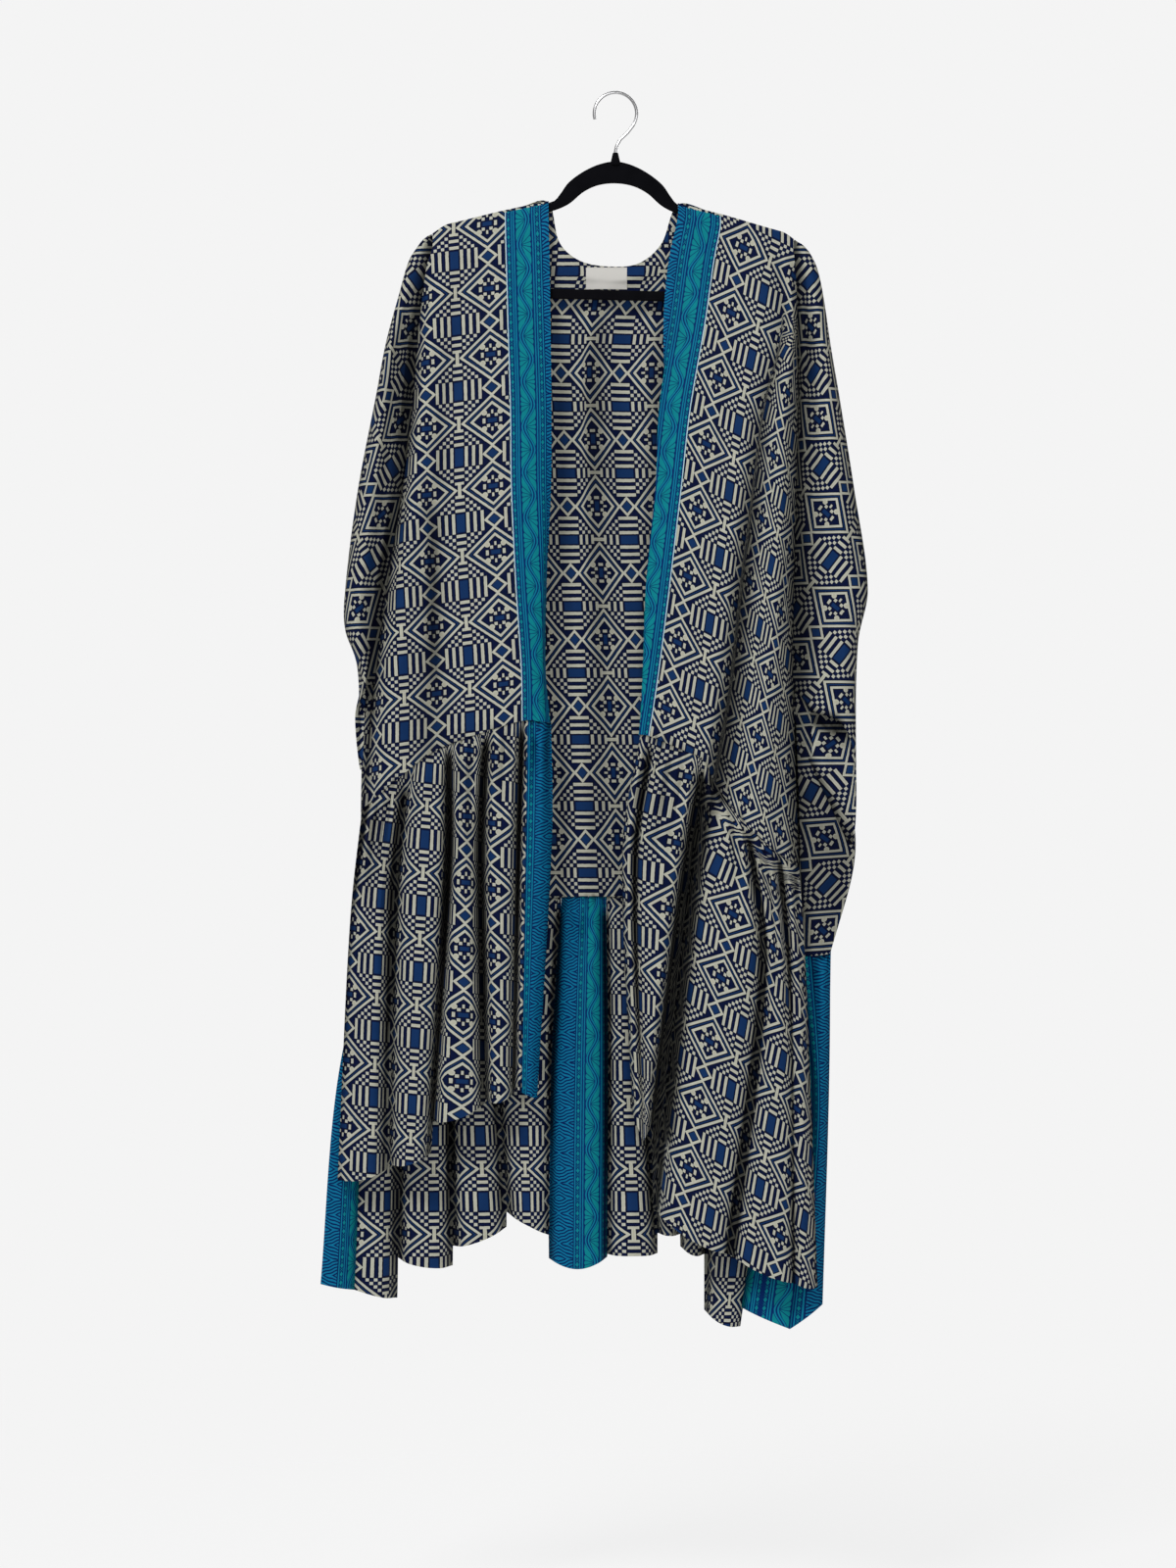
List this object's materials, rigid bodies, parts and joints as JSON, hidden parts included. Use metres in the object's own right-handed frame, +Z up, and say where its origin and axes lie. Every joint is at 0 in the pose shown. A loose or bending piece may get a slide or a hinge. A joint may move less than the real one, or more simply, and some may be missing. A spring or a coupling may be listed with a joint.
{
  "type": "kimono on a hanger",
  "caption": "Open-front kimono robe with wide drop sleeves, gathered asymmetric skirts and patterned border bands, hanging on a slim flocked clothes hanger by its wire hook.",
  "frame": {"origin": "inside top of the hanger's hook, where a rail carries it", "axes": "+Z up, -Y the garment's front, +X the wearer's left"},
  "size_m": [0.6148, 0.0863, 1.3906],
  "materials": {
    "printed_cloth": "soft woven, cream lattice print on navy",
    "border_cloth": "soft woven, teal border print on blue",
    "flocked_black": "black velvet flocking",
    "hook_chrome": "polished",
    "label_tape": "blank woven tape"
  },
  "bodies": {
    "root": {"hanger_frame": "flocked_black", "hanger_hook": "hook_chrome", "front_right_shoulder": "printed_cloth", "front_right": "printed_cloth", "front_left_shoulder": "printed_cloth", "front_left": "printed_cloth", "back_shoulder": "printed_cloth", "back": "printed_cloth", "sleeve_right": "printed_cloth", "sleeve_left": "printed_cloth", "neck_label": "label_tape", "front_band_right": "border_cloth", "front_band_left": "border_cloth", "front_skirt_border_right": "border_cloth", "front_skirt_right": "printed_cloth", "front_skirt_left": "printed_cloth", "back_skirt_border_right": "border_cloth", "back_skirt_right": "printed_cloth", "back_skirt_border_centre": "border_cloth", "back_skirt_left": "printed_cloth", "back_skirt_border_left": "border_cloth"}
  },
  "joints": []
}
